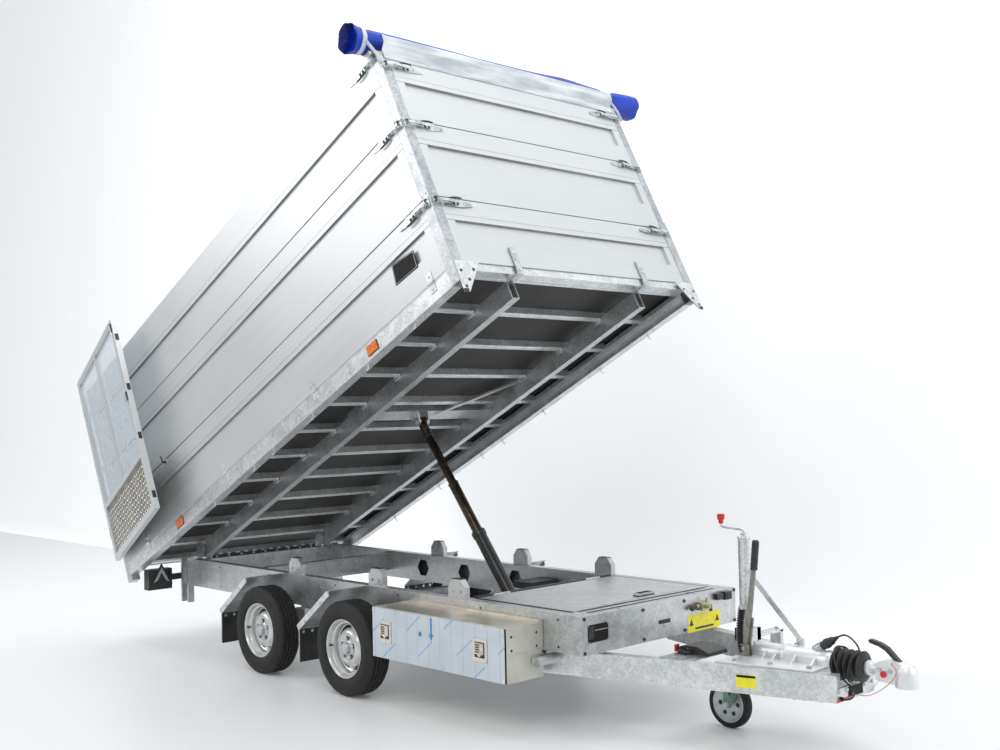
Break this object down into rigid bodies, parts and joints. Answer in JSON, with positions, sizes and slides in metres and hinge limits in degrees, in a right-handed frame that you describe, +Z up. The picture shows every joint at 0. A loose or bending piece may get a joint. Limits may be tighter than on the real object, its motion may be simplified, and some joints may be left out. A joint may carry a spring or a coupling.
{
  "type": "dump trailer",
  "caption": "Braked dump trailer with a high-boarded tipping bed, swing rear door leaves, telescopic ram, V drawbar with jockey wheel, side toolbox and rolled tarpaulin.",
  "frame": {"origin": "centre of the footprint of the whole trailer's bounding box, on the ground under the wheels", "axes": "+X forward to the coupling, +Y to the trailer's left, +Z up"},
  "size_m": [6.0226, 2.4, 3.6251],
  "materials": {
    "galvanised_steel": "hot-dip galvanised",
    "anodised_aluminium": "anodised, satin",
    "cast_aluminium": "cast, matt",
    "silver_steel": "silver paint",
    "black_paint": "gloss black",
    "black_plastic": "moulded, matt",
    "bronze_stage": "ground, dark bronze",
    "red_plastic": "moulded",
    "rubber": "matt",
    "tyre": "matt, moulded",
    "dark_floor": "film-faced plywood",
    "blue_tarpaulin": "coated tarpaulin"
  },
  "bodies": {
    "chassis": {"beam_left": "galvanised_steel", "beam_right": "galvanised_steel", "rear_cross_member": "galvanised_steel", "centre_cross_member": "galvanised_steel", "ram_cradle": "galvanised_steel", "light_bar": "black_plastic", "front_compartment": "galvanised_steel", "power_unit": "black_paint", "toolbox": "silver_steel", "drawbar": "galvanised_steel", "overrun_housing": "cast_aluminium", "bellows": "rubber", "coupling_head": "cast_aluminium", "handbrake": "black_plastic", "jockey_outer_tube": "galvanised_steel", "plug": "rubber", "plug_cable": "rubber", "breakaway_cable": "red_plastic", "axle_front": "galvanised_steel", "axle_rear": "galvanised_steel", "mudguard_front_left": "galvanised_steel", "mudguard_front_right": "galvanised_steel", "mudguard_rear_left": "galvanised_steel", "mudguard_rear_right": "galvanised_steel"},
    "lid": {"compartment_lid": "galvanised_steel"},
    "toolbox_door": {"toolbox_door": "silver_steel"},
    "jockey_slide": {"jockey_inner_tube": "galvanised_steel"},
    "jockey_caster": {"jockey_fork": "galvanised_steel"},
    "jockey_roller": {"jockey_wheel": "rubber"},
    "wheel_front_left": {"tyre_front_left": "tyre", "rim_front_left": "silver_steel"},
    "wheel_front_right": {"tyre_front_right": "tyre", "rim_front_right": "silver_steel"},
    "wheel_rear_left": {"tyre_rear_left": "tyre", "rim_rear_left": "silver_steel"},
    "wheel_rear_right": {"tyre_rear_right": "tyre", "rim_rear_right": "silver_steel"},
    "bed": {"bed_frame": "galvanised_steel", "bed_subframe": "galvanised_steel", "bed_floor": "dark_floor", "front_shield": "anodised_aluminium", "tarpaulin_roll": "blue_tarpaulin", "side_board_lower_left": "anodised_aluminium", "side_board_lower_right": "anodised_aluminium", "side_board_middle_left": "anodised_aluminium", "side_board_middle_right": "anodised_aluminium", "side_board_upper_left": "anodised_aluminium", "side_board_upper_right": "anodised_aluminium", "front_board_lower": "anodised_aluminium", "front_board_middle": "anodised_aluminium", "front_board_upper": "anodised_aluminium", "post_front_left": "galvanised_steel", "post_front_right": "galvanised_steel", "post_rear_left": "galvanised_steel", "post_rear_right": "galvanised_steel"},
    "leaf_left": {"rear_leaf_left": "anodised_aluminium"},
    "leaf_right": {"rear_leaf_right": "anodised_aluminium"},
    "ram_barrel": {"ram_barrel": "black_paint"},
    "ram_stage_1": {"ram_stage_1": "bronze_stage"},
    "ram_stage_2": {"ram_stage_2": "bronze_stage"}
  },
  "joints": [
    {"name": "bed_tip", "type": "hinge", "parent": "chassis", "child": "bed", "pos_m": [-2.01872, 0, 0.644], "axis": [0, -1, 0], "range_deg": [-26, 0]},
    {"name": "ram_swing", "type": "hinge", "parent": "chassis", "child": "ram_barrel", "pos_m": [0.60028, 0, 0.42], "axis": [0, -1, 0], "range_deg": [0, 33.86]},
    {"name": "ram_stage_1_slide", "type": "slide", "parent": "ram_barrel", "child": "ram_stage_1", "axis": [-0.6106, 0, 0.7919], "range_m": [-0.347, 0]},
    {"name": "ram_stage_2_slide", "type": "slide", "parent": "ram_stage_1", "child": "ram_stage_2", "axis": [-0.6106, 0, 0.7919], "range_m": [-0.347, 0]},
    {"name": "leaf_right_swing", "type": "hinge", "parent": "bed", "child": "leaf_right", "pos_m": [-2.37105, -0.975, 0.47216], "axis": [-0.4384, 0, 0.8988], "range_deg": [-262, 4]},
    {"name": "leaf_left_swing", "type": "hinge", "parent": "bed", "child": "leaf_left", "pos_m": [-2.37105, 0.975, 0.47216], "axis": [0.4384, 0, -0.8988], "range_deg": [-262, 4]},
    {"name": "lid_lift", "type": "hinge", "parent": "chassis", "child": "lid", "pos_m": [0.85128, 0, 0.5748], "axis": [0, -1, 0], "range_deg": [0, 80]},
    {"name": "toolbox_door_fold", "type": "hinge", "parent": "chassis", "child": "toolbox_door", "pos_m": [0.88378, -0.8627, 0.262], "axis": [1, 0, 0], "range_deg": [0, 100]},
    {"name": "jockey_lift", "type": "slide", "parent": "chassis", "child": "jockey_slide", "axis": [0, 0, 1], "range_m": [-0.08, 0.12]},
    {"name": "jockey_swivel", "type": "hinge", "parent": "jockey_slide", "child": "jockey_caster", "pos_m": [2.12628, 0.04, 0.25], "axis": [0, 0, 1], "continuous": true},
    {"name": "jockey_roll", "type": "hinge", "parent": "jockey_caster", "child": "jockey_roller", "pos_m": [2.02128, 0.04, 0.115], "axis": [0, 1, 0], "continuous": true},
    {"name": "wheel_front_left_roll", "type": "hinge", "parent": "chassis", "child": "wheel_front_left", "pos_m": [0.08628, 0.787, 0.261], "axis": [0, 1, 0], "continuous": true},
    {"name": "wheel_front_right_roll", "type": "hinge", "parent": "chassis", "child": "wheel_front_right", "pos_m": [0.08628, -0.787, 0.261], "axis": [0, 1, 0], "continuous": true},
    {"name": "wheel_rear_left_roll", "type": "hinge", "parent": "chassis", "child": "wheel_rear_left", "pos_m": [-0.78372, 0.787, 0.261], "axis": [0, 1, 0], "continuous": true},
    {"name": "wheel_rear_right_roll", "type": "hinge", "parent": "chassis", "child": "wheel_rear_right", "pos_m": [-0.78372, -0.787, 0.261], "axis": [0, 1, 0], "continuous": true}
  ],
  "couplings": [
    {"joint": "ram_swing", "follows": "bed_tip", "ratio": -1.302},
    {"joint": "ram_stage_1_slide", "follows": "bed_tip", "m_per_rad": 0.76427},
    {"joint": "ram_stage_2_slide", "follows": "bed_tip", "m_per_rad": 0.76427}
  ]
}
